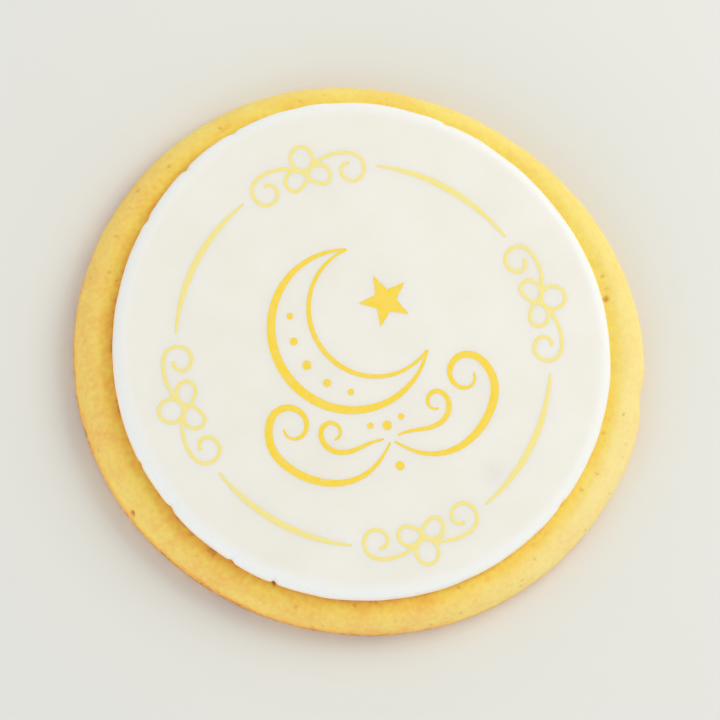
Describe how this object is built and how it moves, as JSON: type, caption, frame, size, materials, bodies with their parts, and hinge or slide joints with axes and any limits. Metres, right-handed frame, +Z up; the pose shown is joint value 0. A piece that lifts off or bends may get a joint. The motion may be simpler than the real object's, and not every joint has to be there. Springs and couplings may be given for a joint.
{
  "type": "eid biscuit",
  "caption": "Round butter biscuit with a rounded golden rim, topped by a disc of white sugar icing with a crescent and scroll print; rests flat.",
  "frame": {"origin": "on the underside, below the middle of the biscuit's outline", "axes": "+Z up through the icing; +Y is the upright direction of the print, +X to its right"},
  "size_m": [0.077, 0.0756, 0.009],
  "materials": {
    "crust": "dry, finely grained golden baked crumb, browner at the foot",
    "sugar_icing": "smooth satin rolled sugar icing, warm white",
    "golden_print": "flat edible ink in golden yellow, a little uneven"
  },
  "bodies": {
    "root": {"biscuit": "crust", "icing": "sugar_icing"}
  },
  "joints": []
}
